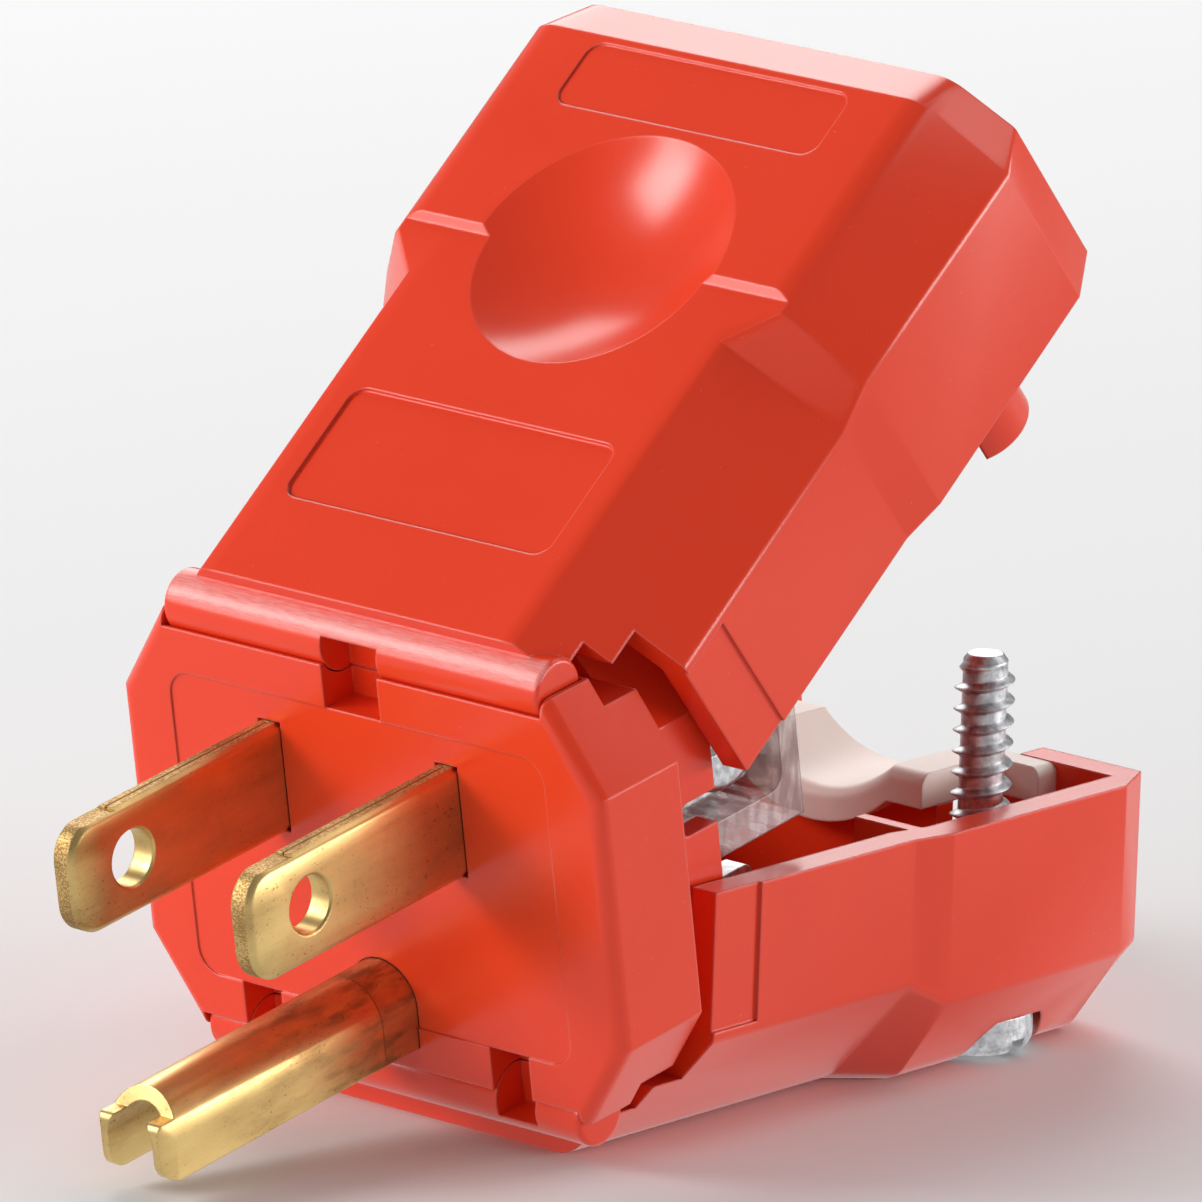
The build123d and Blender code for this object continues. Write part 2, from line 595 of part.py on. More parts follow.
# Outer form that both halves share: octagonal, with a shoulder, a bevelled end, a hinge barrel and a dimple
dimple_sphere = (DIMPLE_RADIUS ** 2 + DIMPLE_DEPTH ** 2) / (2 * DIMPLE_DEPTH)
dimple_centre = (0, DIMPLE_Y, TOP + dimple_sphere - DIMPLE_DEPTH)
with BuildPart() as housing_form:
    extrude(half_section(SHOULDER_START, SECTION_FRONT, UPPER_RIM), amount=SHOULDER_START - PLATE_FRONT)
    loft(
        [
            half_section(SHOULDER_START, SECTION_FRONT, UPPER_RIM),
            half_section(SHOULDER_END, SECTION_REAR, UPPER_RIM),
        ],
        ruled=True,
    )
    extrude(half_section(BEVEL_START, SECTION_REAR, UPPER_RIM), amount=BEVEL_START - SHOULDER_END)
    loft(
        [
            half_section(BEVEL_START, SECTION_REAR, UPPER_RIM),
            half_section(HOUSING_END, SECTION_END, UPPER_RIM),
        ],
        ruled=True,
    )
    # the sides stand back behind the flange, and their front strip is a little lower
    with BuildSketch(Plane.YZ):
        with BuildLine():
            Polyline(
                (0, -WALL),
                (SIDE_FRONT, -WALL),
                (SIDE_FRONT, TAB_HEIGHT),
                (TAB_FRONT, TAB_HEIGHT),
                (TAB_FRONT, PLATE_UNDERSIDE),
                (0, PLATE_UNDERSIDE),
                close=True,
            )
        make_face()
    extrude(amount=THROUGH, both=True, mode=Mode.SUBTRACT)
    step_x = FRONT_WIDTH - SIDE_STEP_DEPTH
    for side in (1, -1):
        with Locations((side * step_x, SIDE_STEP_Y, -WALL)):
            Box(
                SIDE_FRONT,
                SIDE_STEP_Y,
                SECTION_FRONT[1] - SIDE_STEP_MARGIN + WALL,
                align=(Align.MIN if side > 0 else Align.MAX, Align.MAX, Align.MIN),
                mode=Mode.SUBTRACT,
            )
    with BuildSketch(Plane.XZ.offset(-HINGE_Y)) as barrel:
        with Locations((0, HINGE_Z)):
            Rectangle(2 * BARREL_HALF_LENGTH, BARREL_RADIUS, align=(Align.CENTER, Align.MIN))
        fillet(barrel.vertices().group_by(Axis.Y)[-1], BARREL_ROUND)
    revolve(axis=Axis((0, HINGE_Y, HINGE_Z), (1, 0, 0)))
    with Locations(dimple_centre):
        Sphere(dimple_sphere, mode=Mode.SUBTRACT)
    # half of the round opening for the cord
    with BuildSketch(Plane.XZ.offset(-BEVEL_START)):
        Circle(CORD_HOLE_RADIUS)
    extrude(amount=-THROUGH, mode=Mode.SUBTRACT)


def hollow(base):
    """The space inside a half, down to the height base, less the bulkhead and the dimple's bulge."""
    front = inset(SECTION_FRONT, WALL)
    rear = inset(SECTION_REAR, WALL)
    back = HOUSING_END - END_WALL
    with BuildPart() as space:
        extrude(half_section(SHOULDER_START, front, base, False), amount=SHOULDER_START - TAB_FRONT)
        loft(
            [half_section(SHOULDER_START, front, base, False), half_section(SHOULDER_END, rear, base, False)],
            ruled=True,
        )
        extrude(half_section(back, rear, base, False), amount=back - SHOULDER_END)
        with BuildSketch(Plane.XZ.offset(-BULKHEAD_Y)):
            Rectangle(THROUGH, THROUGH, align=(Align.CENTER, Align.MIN))
            Rectangle(
                2 * (front[0] - BULKHEAD_REACH),
                2 * BULKHEAD_OPENING_HEIGHT,
                mode=Mode.SUBTRACT,
            )
        extrude(amount=BULKHEAD_THICKNESS / 2, both=True, mode=Mode.SUBTRACT)
        with Locations(dimple_centre):
            Sphere(dimple_sphere + WALL, mode=Mode.SUBTRACT)
    return space.part


def barrel_flat(side, angle, x, width):
    """What stands in a finger notch's way on an upper or lower hinge barrel when the half is open by the angle."""
    with BuildPart() as front:
        with Locations((x, NOTCH_DEPTH, side * (HINGE_Z + NOTCH_RISE))):
            Box(
                width,
                2 * BARREL_RADIUS,
                2 * BARREL_RADIUS + NOTCH_RISE,
                align=(Align.CENTER, Align.MAX, Align.MAX if side > 0 else Align.MIN),
            )
    return front.part.moved(turn_about(side * HINGE_Z, -angle))


# Upper half: raised rear, two shallow panels on top, a rib that grips the cord, slotted bosses for the screws
upper_space = hollow(-WALL)
with BuildPart() as upper_hollow:
    add(upper_space)
    with Locations((-SCREW_X, SCREW_Y, 0), (SCREW_X, SCREW_Y, 0)):
        Cylinder(BOSS_RADIUS, THROUGH, mode=Mode.SUBTRACT)
    with BuildSketch(Plane.XZ.offset(-GRIP_RIB_Y)):
        with Locations((0, UPPER_RIM + PARTING_GAP)):
            Rectangle(2 * GRIP_RIB_HALF_WIDTH, THROUGH, align=(Align.CENTER, Align.MIN))
        Circle(GRIP_RIB_RADIUS, mode=Mode.SUBTRACT)
    extrude(amount=GRIP_RIB_THICKNESS / 2, both=True, mode=Mode.SUBTRACT)
upper_flat = barrel_flat(1, UPPER_OPEN, 0, 2 * TOP_NOTCH_HALF)
with BuildPart() as upper_housing:
    add(housing_form.part)
    add(upper_hollow.part, mode=Mode.SUBTRACT)
    with Locations((-SCREW_X, SCREW_Y, -BOSS_DROP), (SCREW_X, SCREW_Y, -BOSS_DROP)):
        Cylinder(BOSS_RADIUS, BOSS_DROP + SCREW_RISE, align=(Align.CENTER, Align.CENTER, Align.MIN))
    with BuildSketch(Plane.XY.offset(-BOSS_DROP)):
        with Locations((-SCREW_X, SCREW_Y), (SCREW_X, SCREW_Y)):
            Rectangle(SCREW_DIAMETER + 2 * BOSS_SLOT_CLEARANCE, 2 * BOSS_RADIUS)
    extrude(amount=BOSS_DROP + SCREW_RISE + BOSS_GAP, mode=Mode.SUBTRACT)
    with BuildSketch(Plane.YZ):
        with BuildLine():
            Polyline(
                (0, FRONT_TOP),
                (TOP_STEP_Y, FRONT_TOP),
                (TOP_STEP_Y + TOP_STEP_RAMP, TOP),
                (TOP_STEP_Y + TOP_STEP_RAMP, TOP + WALL),
                (0, TOP + WALL),
                close=True,
            )
        make_face()
    extrude(amount=THROUGH, both=True, mode=Mode.SUBTRACT)
    with BuildSketch(Plane.XY.offset(FRONT_TOP)):
        with Locations((0, (LABEL_FRONT + LABEL_BACK) / 2)):
            RectangleRounded(LABEL_WIDTH, LABEL_BACK - LABEL_FRONT, LABEL_ROUND)
    extrude(amount=-LABEL_DEPTH, mode=Mode.SUBTRACT)
    with BuildSketch(Plane.XY.offset(TOP)):
        with Locations((0, FRAME_BACK - FRAME_LENGTH / 2)):
            RectangleRounded(FRAME_WIDTH, FRAME_LENGTH, LABEL_ROUND)
    extrude(amount=-FRAME_DEPTH, mode=Mode.SUBTRACT)
    add(upper_flat, mode=Mode.SUBTRACT)
finish(upper_housing, "upper_housing", UPPER_PLACE)


# Lower half: the same form upside down, with screw columns, counterbores below and ribs under the cord clamp
lower_space = hollow(-WALL)
rib_front = CLAMP_FRONT + CLAMP_RIB_THICKNESS
with BuildPart() as lower_hollow:
    mirror(lower_space, about=Plane.XY)
    with Locations((-SCREW_X, SCREW_Y, BOSS_TOP), (SCREW_X, SCREW_Y, BOSS_TOP)):
        Cylinder(BOSS_RADIUS, TOP, align=(Align.CENTER, Align.CENTER, Align.MAX), mode=Mode.SUBTRACT)
    foot_top = HEAD_SEAT + BOSS_FLOOR
    with Locations((-SCREW_X, SCREW_Y, foot_top), (SCREW_X, SCREW_Y, foot_top)):
        Cylinder(
            COUNTERBORE_RADIUS + BOSS_FOOT_WALL,
            TOP,
            align=(Align.CENTER, Align.CENTER, Align.MAX),
            mode=Mode.SUBTRACT,
        )
    front_rib = saddle_section(rib_front + CLAMP_RIB_THICKNESS, CLAMP_HALF_WIDTH, CLAMP_UNDERSIDE)
    extrude(front_rib, amount=CLAMP_RIB_THICKNESS, mode=Mode.SUBTRACT)
    with BuildSketch(Plane.XZ.offset(-CLAMP_BACK)):
        add(saddle_section(CLAMP_BACK, CLAMP_WING_HALF, CLAMP_UNDERSIDE))
        Circle(CORD_HOLE_RADIUS, mode=Mode.SUBTRACT)
    extrude(amount=CLAMP_RIB_THICKNESS, mode=Mode.SUBTRACT)
lower_flats = [
    barrel_flat(-1, -LOWER_OPEN, x, low_notch_width) for x in (-low_notch_x, low_notch_x)
]
with BuildPart() as lower_housing:
    mirror(housing_form.part, about=Plane.XY)
    with Locations((0, 0, LOWER_RIM)):
        Box(THROUGH, 2 * THROUGH, TOP, align=(Align.CENTER, Align.CENTER, Align.MIN), mode=Mode.SUBTRACT)
    add(lower_hollow.part, mode=Mode.SUBTRACT)
    with Locations((-SCREW_X, SCREW_Y, HEAD_SEAT), (SCREW_X, SCREW_Y, HEAD_SEAT)):
        Cylinder(COUNTERBORE_RADIUS, TOP, align=(Align.CENTER, Align.CENTER, Align.MAX), mode=Mode.SUBTRACT)
        Cylinder(SCREW_DIAMETER / 2 + SCREW_HOLE_CLEARANCE, THROUGH, mode=Mode.SUBTRACT)
    add(lower_flats, mode=Mode.SUBTRACT)
finish(lower_housing, "lower_housing", STAND)


# Cord clamp: a thin saddle across the back of the lower half, wider at its back
with BuildPart() as cord_clamp:
    extrude(saddle_section(CLAMP_BACK, CLAMP_HALF_WIDTH, -CLAMP_DROP), amount=CLAMP_DEPTH)
    front_edges = cord_clamp.faces().sort_by(Axis.Y)[0].edges()
    fillet(front_edges.filter_by(lambda edge: edge.center().Z > CLAMP_UNDERSIDE - SADDLE_DEPTH), CLAMP_ROUND)
    extrude(saddle_section(CLAMP_BACK, CLAMP_WING_HALF, -CLAMP_DROP), amount=CLAMP_WING_DEPTH)
    wing_ends = cord_clamp.edges().filter_by(Axis.Y).group_by(Axis.Z)[-1].sort_by(Axis.X)
    fillet([wing_ends[0], wing_ends[-1]], CLAMP_END_ROUND)
    below = saddle_section(CLAMP_BACK, CLAMP_WING_HALF, CLAMP_UNDERSIDE)
    extrude(below, amount=CLAMP_DEPTH, mode=Mode.SUBTRACT)
finish(cord_clamp, "cord_clamp", STAND)


# Assembly screws: pan heads in the counterbores, shanks that stand up out of the lower half
with BuildPart() as assembly_screws:
    for x in (-SCREW_X, SCREW_X):
        with BuildSketch(Plane.XZ.offset(-SCREW_Y)) as screw_profile:
            with BuildLine():
                shank = SCREW_DIAMETER / 2
                head = HEAD_DIAMETER / 2
                Polyline(
                    (x, HEAD_SEAT - HEAD_HEIGHT),
                    (x + head, HEAD_SEAT - HEAD_HEIGHT),
                    (x + head, HEAD_SEAT),
                    (x + shank, HEAD_SEAT),
                    (x + shank, SCREW_RISE - SCREW_TIP_BEVEL),
                    (x + shank - SCREW_TIP_BEVEL, SCREW_RISE),
                    (x, SCREW_RISE),
                    close=True,
                )
            make_face()
            fillet(screw_profile.vertices().group_by(Axis.Y)[0].sort_by(Axis.X)[-1], HEAD_ROUND)
        revolve(axis=Axis((x, SCREW_Y, 0), (0, 0, 1)))
    with BuildSketch(Plane.XY.offset(HEAD_SEAT - HEAD_HEIGHT)):
        with Locations((-SCREW_X, SCREW_Y), (SCREW_X, SCREW_Y)):
            Rectangle(HEAD_DIAMETER, HEAD_SLOT_WIDTH)
    extrude(amount=HEAD_SLOT_DEPTH, mode=Mode.SUBTRACT)
finish(assembly_screws, "assembly_screws", STAND)
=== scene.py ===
"""Looks of a hinged straight blade plug. The solids come in as a fixed frame, and each operator dresses one
group of pieces: moulded housing, folded brass contacts, wire terminals, clear block, cord clamp and
assembly screws.
"""

import json
import math

import bmesh
import bpy
from mathutils import Euler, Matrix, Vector

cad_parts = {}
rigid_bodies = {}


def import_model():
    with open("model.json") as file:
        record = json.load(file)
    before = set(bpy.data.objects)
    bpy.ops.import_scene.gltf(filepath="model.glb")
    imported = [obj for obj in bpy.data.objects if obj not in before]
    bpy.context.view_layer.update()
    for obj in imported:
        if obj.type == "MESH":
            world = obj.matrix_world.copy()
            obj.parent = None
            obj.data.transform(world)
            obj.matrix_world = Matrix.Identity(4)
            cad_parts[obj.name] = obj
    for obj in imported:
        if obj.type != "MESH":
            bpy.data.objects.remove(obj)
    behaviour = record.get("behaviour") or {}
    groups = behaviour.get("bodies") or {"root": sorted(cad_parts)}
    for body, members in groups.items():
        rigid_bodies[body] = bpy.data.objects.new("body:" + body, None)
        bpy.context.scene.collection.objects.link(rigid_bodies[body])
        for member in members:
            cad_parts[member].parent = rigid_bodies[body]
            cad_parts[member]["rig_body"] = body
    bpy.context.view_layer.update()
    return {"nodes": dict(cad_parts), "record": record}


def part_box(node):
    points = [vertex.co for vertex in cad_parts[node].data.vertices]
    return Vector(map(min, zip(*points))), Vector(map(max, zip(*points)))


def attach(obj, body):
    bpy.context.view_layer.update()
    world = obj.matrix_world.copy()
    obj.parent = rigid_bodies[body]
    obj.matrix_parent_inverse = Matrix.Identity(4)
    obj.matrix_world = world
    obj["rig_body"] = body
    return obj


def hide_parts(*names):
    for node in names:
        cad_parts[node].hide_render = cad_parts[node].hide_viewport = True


bl_info = {
    "name": "Hinged Straight Blade Plug",
    "version": (1, 0, 0),
    "blender": (4, 5, 0),
    "location": "View3D > Sidebar > Plug",
    "description": "Dresses the solids of a hinged straight blade plug and sets up its studio",
    "category": "Object",
}

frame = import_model()
RECORD = frame["record"]
MM = 0.001
MERGE_DISTANCE = 1e-6

# Turn at an edge up to which the shading runs on over it
ROUND_EDGE = math.radians(28)
THREAD_EDGE = math.radians(38)
# Flat regions: turn between two faces of one, width from which it is broad, and turn from which the edge
# between two broad ones stays sharp
FLAT_TURN = math.radians(0.4)
FLAT_WIDTH = 1.2 * MM
FLAT_EDGE = math.radians(4)
# Top edges of the upper half, which are worn round: distance from the middle at which the shading starts to
# turn, distance of the edge itself, how near to it a corner has to lie, and the turn that is still worn round
SOFT_STRIP = 10.2 * MM
SOFT_EDGE = 11.08 * MM
SOFT_REACH = 0.05 * MM
SOFT_TURN = math.radians(40)


def row_of(rows, name):
    """The row of that name in one of the record's lists."""
    return next(row for row in rows if row["name"] == name)


BLADE_FACE = row_of(RECORD["mounts"], "blade_face")
BLADE_HOLE = row_of(RECORD["mounts"], "line_blade_hole")
UPPER_HINGE = row_of(RECORD["behaviour"]["joints"], "upper_hinge")
FACE_POINT = Vector(BLADE_FACE["pos_m"])
FACE_AXIS = Vector(BLADE_FACE["axis"])
FACE_TILT = math.atan2(-FACE_AXIS.z, -FACE_AXIS.y)
HOLE_POINT = Vector((0, *BLADE_HOLE["pos_m"][1:]))
HINGE_POINT = Vector((0, *UPPER_HINGE["pos_m"][1:]))
# Size for distances in millimetres from an axis that runs across the plug: X counts for next to nothing
AROUND_X = (1.0, MM, MM)

# Painted highlight band, broken up by scuffs, on the upper hinge barrel: radius and skin of the barrel, slope
# that the band faces, and the shares of the radius at which it starts and over which it grows
BARREL_RADIUS_MM = 1.8
BARREL_SKIN_MM = 0.06
SHEEN_SLOPE = math.radians(40)
SHEEN_START = 0.84
SHEEN_GROWTH = 0.12
# Torn edges of the blades: how far they face sideways at most, over what they fade, and the room at the hole
SHEAR_FACING = 0.75
SHEAR_FADE = 0.2
HOLE_ROOM_MM = 0.1
# Marks of pressing in on the pin, counted out from the face: ring, film inside it, end and fade of the stain
RING_OUT_MM = 2.7
RING_WIDTH_MM = 0.08
FILM_FADE_MM = 0.1
STAIN_END_MM = 17
STAIN_FADE_MM = 14

# Thread, in shares of the pitch: half the flat of its crest, one flank, and where it runs out below the tip
CREST_FLAT = 0.03
CREST_FLANK = 0.20
RUN_OUT = 0.25
# Share by which the tip narrows, turns that start below the seat, all turns beyond the shank's own, and how
# far above the seat the heads are cut off
TIP_NARROWING = 0.22
TURNS_BELOW = 2
TURNS_SPARE = 3
CUT_ABOVE = 0.02 * MM

# Lamps: direction from the aim, distance, width and height in metres, and power in watts
LAMPS = {
    "key": ((-0.70, -0.62, 0.50), 0.75, 0.27, 0.27, 2.75),
    "front": ((-0.30, -0.95, 0.10), 0.75, 0.70, 0.16, 2.6),
    "back": ((-0.63, 0.57, 0.53), 0.80, 0.50, 0.50, 3.2),
    "side": ((0.78, 0.62, 0.10), 0.90, 0.80, 0.16, 4.8),
    "top": ((0.36, 0.57, 0.74), 0.80, 0.40, 0.40, 1.0),
}
FLOOR_REACH = 4.0
FLOOR_ROUGHNESS = 0.9
FLOOR_IN_GLOSS = 0.75
SENSOR_WIDTH = 36.0
FARTHEST_SEEN = 20.0


class PlugFinish(bpy.types.PropertyGroup):
    """Colours and surface sizes of the plug's materials."""

    housing_colour: bpy.props.FloatVectorProperty(
        name="Housing", description="Moulded plastic of the face and both halves",
        subtype="COLOR", min=0, max=1, default=(0.78, 0.043, 0.010))
    brass_colour: bpy.props.FloatVectorProperty(
        name="Brass", description="Drawn brass strip of the blades and the pin",
        subtype="COLOR", min=0, max=1, default=(0.82, 0.585, 0.235))
    patina_colour: bpy.props.FloatVectorProperty(
        name="Patina", description="Darker film on handled brass",
        subtype="COLOR", min=0, max=1, default=(0.34, 0.20, 0.075))
    steel_colour: bpy.props.FloatVectorProperty(
        name="Steel", description="Plated steel of screws and clamp plates",
        subtype="COLOR", min=0, max=1, default=(0.68, 0.68, 0.70))
    ground_colour: bpy.props.FloatVectorProperty(
        name="Ground screw", description="Dye on the ground terminal's screw",
        subtype="COLOR", min=0, max=1, default=(0.04, 0.28, 0.09))
    nylon_colour: bpy.props.FloatVectorProperty(
        name="Nylon", description="Cord clamp",
        subtype="COLOR", min=0, max=1, default=(0.87, 0.76, 0.69))
    # The clear block's pink tint stands in part for the housing's red seen in it, as painted reflection
    clear_colour: bpy.props.FloatVectorProperty(
        name="Clear plastic", description="Tint of the clear terminal block",
        subtype="COLOR", min=0, max=1, default=(0.62, 0.52, 0.51))
    # Painted reflection: the housing's red and shade, laid in streaks over the clear block
    painted_reflection_colour: bpy.props.FloatVectorProperty(
        name="Caught colour", description="Red and shade that the clear block catches from the housing",
        subtype="COLOR", min=0, max=1, default=(0.26, 0.09, 0.09))
    edge_radius: bpy.props.FloatProperty(
        name="Edge softness", description="Radius to which moulded edges catch the light",
        subtype="DISTANCE", default=0.20 * MM, min=0)


class PlugThread(bpy.types.PropertyGroup):
    """Sizes of the thread on the assembly screws."""

    pitch: bpy.props.FloatProperty(
        name="Pitch", description="Distance from one turn to the next",
        subtype="DISTANCE", default=1.2 * MM)
    core_diameter: bpy.props.FloatProperty(
        name="Core diameter", description="Diameter between the turns",
        subtype="DISTANCE", default=2.5 * MM)
    outer_diameter: bpy.props.FloatProperty(
        name="Outer diameter", description="Diameter over the turns",
        subtype="DISTANCE", default=3.4 * MM)
    head_height: bpy.props.FloatProperty(
        name="Head height", description="Height of the pan head up to its seat",
        subtype="DISTANCE", default=2.2 * MM)
    tip_bevel: bpy.props.FloatProperty(
        name="Tip bevel", description="Length over which the blunt tip narrows",
        subtype="DISTANCE", default=0.35 * MM)
    rows_per_turn: bpy.props.IntProperty(
        name="Rows per turn", description="Rows of faces along one pitch", default=16, min=8)
    facets: bpy.props.IntProperty(
        name="Facets", description="Faces around the shank", default=40, min=8)


class PlugStage(bpy.types.PropertyGroup):
    """Camera, floor and room light."""

    azimuth: bpy.props.FloatProperty(
        name="Azimuth", description="Turn of the camera about the plug, from its front",
        subtype="ANGLE", default=math.radians(40.247))
    elevation: bpy.props.FloatProperty(
        name="Elevation", description="Height of the camera above the floor, as an angle",
        subtype="ANGLE", default=math.radians(14.082))
    roll: bpy.props.FloatProperty(
        name="Roll", description="Turn of the picture about the line of sight",
        subtype="ANGLE", default=math.radians(1.898))
    distance: bpy.props.FloatProperty(
        name="Distance", description="From the aim to the camera",
        subtype="DISTANCE", default=0.78)
    aim: bpy.props.FloatVectorProperty(
        name="Aim", description="Point at the middle of the picture",
        subtype="TRANSLATION", default=(7.82 * MM, -4.11 * MM, 29.42 * MM))
    lens: bpy.props.FloatProperty(
        name="Lens", description="Focal length in millimetres on a 36 mm sensor",
        unit="CAMERA", default=435.35)
    floor_colour: bpy.props.FloatVectorProperty(
        name="Floor", description="Pale floor under the plug",
        subtype="COLOR", min=0, max=1, default=(0.80, 0.80, 0.80))
    world_strength: bpy.props.FloatProperty(
        name="Room light", description="Even light from all sides", default=0.26)


class Value:
    """A node's output that can be used in expressions: each operation adds a Math node."""

    def __init__(self, graph, socket):
        self.graph = graph
        self.socket = socket

    def maths(self, operation, first, second):
        return self.graph.node("ShaderNodeMath", {"operation": operation}, {0: first, 1: second})

    def __add__(self, other):
        return self.maths("ADD", self, other)

    def __radd__(self, other):
        return self.maths("ADD", other, self)

    def __sub__(self, other):
        return self.maths("SUBTRACT", self, other)

    def __rsub__(self, other):
        return self.maths("SUBTRACT", other, self)

    def __mul__(self, other):
        return self.maths("MULTIPLY", self, other)

    def __rmul__(self, other):
        return self.maths("MULTIPLY", other, self)

    def __truediv__(self, other):
        return self.maths("DIVIDE", self, other)

    def __rtruediv__(self, other):
        return self.maths("DIVIDE", other, self)

    def __mod__(self, other):
        return self.maths("FLOORED_MODULO", self, other)

    def clipped(self):
        return self.most(0).least(1)

    def cosine(self):
        return self.maths("COSINE", self, 0)

    def sine(self):
        return self.maths("SINE", self, 0)

    def least(self, other):
        return self.maths("MINIMUM", self, other)

    def most(self, other):
        return self.maths("MAXIMUM", self, other)

    def size(self):
        return self.maths("ABSOLUTE", self, 0)


class Graph:
    """A node tree that is written as expressions."""

    def __init__(self, tree):
        self.tree = tree

    def node(self, kind, settings=None, sockets=None, output=0):
        """Add a node, set it up, feed its sockets, and give one of its outputs back."""
        node = self.tree.nodes.new(kind)
        for key, value in (settings or {}).items():
            if key == "stops":
                self.set_stops(node.color_ramp, value)
            else:
                setattr(node, key, value)
        for key, value in (sockets or {}).items():
            self.feed(self.find(node.inputs, key), value)
        return Value(self, self.find(node.outputs, output)) if node.outputs else None

    def feed(self, socket, value):
        """Give a socket a number, colour or vector, a link, or a list of links where it takes several."""
        for part in value if isinstance(value, list) else [value]:
            if isinstance(part, Value):
                self.tree.links.new(part.socket, socket)
            else:
                socket.default_value = part

    def part(self, vector, axis):
        """One coordinate of a vector."""
        return self.node("ShaderNodeSeparateXYZ", None, {"Vector": vector}, output=axis)

    def length(self, vector):
        """How long a vector is."""
        return self.node("ShaderNodeVectorMath", {"operation": "LENGTH"}, {0: vector}, output="Value")

    @staticmethod
    def find(sockets, key):
        """A socket by its number, its identifier or its name."""
        if isinstance(key, int):
            return sockets[key]
        for socket in sockets:
            if socket.identifier == key:
                return socket
        return sockets[key]

    @staticmethod
    def set_stops(ramp, stops):
        """Give a ramp its stops, as pairs of place and colour."""
        while len(ramp.elements) < len(stops):
            ramp.elements.new(1.0)
        for element, (place, colour) in zip(ramp.elements, stops):
            element.position = place
            element.color = (*colour, 1.0)


class Finish(Graph):
    """A material with one Principled shader, in the part's own metres."""

    def __init__(self, name):
        self.material = bpy.data.materials.new(name)
        self.material.use_nodes = True
        super().__init__(self.material.node_tree)
        self.shader = self.tree.nodes["Principled BSDF"]
        self.place = self.node("ShaderNodeTexCoord", output="Object")

    def along(self, size, tilt=0.0, start=(0, 0, 0)):
        """Object coordinates from a start, turned with the face and divided by a size along each axis."""
        return self.node(
            "ShaderNodeMapping", {"vector_type": "TEXTURE"},
            {"Vector": self.place, "Location": start, "Rotation": (tilt, 0, 0), "Scale": size})

    def noise(self, size, detail=2.0, roughness=0.5, tilt=0.0):
        """Soft noise whose blotches have that size, the same each way or one for each axis."""
        size = (size,) * 3 if isinstance(size, float) else size
        return self.node(
            "ShaderNodeTexNoise", None,
            {"Vector": self.along(size, tilt), "Scale": 1.0, "Detail": detail, "Roughness": roughness})

    def ramp(self, value, *stops):
        """A smooth grey ramp over a value, as a number."""
        stops = [(place, (level,) * 3) for place, level in stops]
        return self.node("ShaderNodeValToRGB", {"stops": stops}, {"Fac": value})

    def mix(self, factor, first, second):
        """One colour that gives way to another."""
        first, second = (c if isinstance(c, Value) else (*c, 1.0) for c in (first, second))
        return self.node(
            "ShaderNodeMix", {"data_type": "RGBA"},
            {"Factor_Float": factor, "A_Color": first, "B_Color": second}, output="Result_Color")

    def soft_edges(self, radius):
        """Normals that round sharp edges off by a radius."""
        return self.node("ShaderNodeBevel", {"samples": 6}, {"Radius": radius})

    def rim(self, rounded):
        """How near a sharp edge is, from the turn between its rounded normals and the plain ones."""
        plain = self.node("ShaderNodeNewGeometry", output="Normal")
        turn = self.node(
            "ShaderNodeVectorMath", {"operation": "DOT_PRODUCT"}, {0: rounded, 1: plain}, output="Value")
        inner = {"only_local": True, "samples": 6}
        clear = self.node("ShaderNodeAmbientOcclusion", inner, {"Distance": 0.5 * MM}, output="AO")
        return (6 * (1 - turn)).clipped() * (3 * clear - 2).clipped()

    def relief(self, height, depth, rounded):
        """Normals of a fine relief of that depth, on top of the rounded ones."""
        sockets = {"Height": height, "Distance": depth, "Strength": 1.0, "Normal": rounded}
        return self.node("ShaderNodeBump", None, sockets)

    def surface(self, **sockets):
        """Feed the shader, with underscores for blanks in its socket names, and give the material back."""
        for key, value in sockets.items():
            self.feed(self.shader.inputs[key.replace("_", " ")], value)
        return self.material

    def even_in_gloss(self, strength):
        """Let reflections show the surface as an even white of that strength."""
        glossy = self.node("ShaderNodeLightPath", output="Is Glossy Ray")
        white = self.node("ShaderNodeEmission", None, {"Strength": strength})
        own = Value(self, self.shader.outputs["BSDF"])
        seen = self.node("ShaderNodeMixShader", None, {0: glossy, 1: own, 2: white})
        self.feed(self.tree.nodes["Material Output"].inputs["Surface"], seen)


def shade(colour, factor):
    """A colour made lighter or darker."""
    return tuple(min(1.0, c * factor) for c in colour)


def paled(colour, share):
    """A colour with a share of white."""
    return tuple(c + (1 - c) * share for c in colour)


def hinge_sheen_and_scuffs(g):
    """A painted highlight band along the upper hinge barrel's top, broken up by scuffs from the halves'
    rubbing.
    """
    from_axis = g.along(AROUND_X, start=HINGE_POINT)
    rise = math.sin(SHEEN_SLOPE) * g.part(from_axis, "Z") - math.cos(SHEEN_SLOPE) * g.part(from_axis, "Y")
    band = ((rise / BARREL_RADIUS_MM - SHEEN_START) / SHEEN_GROWTH).clipped()
    on_skin = ((BARREL_RADIUS_MM + 2 * BARREL_SKIN_MM - g.length(from_axis)) / BARREL_SKIN_MM).clipped()
    scuffs = g.noise((0.9 * MM, 0.10 * MM, 0.10 * MM), detail=4.0, roughness=0.7)
    return band * on_skin * g.ramp(scuffs, (0.30, 0.35), (0.62, 1.0))


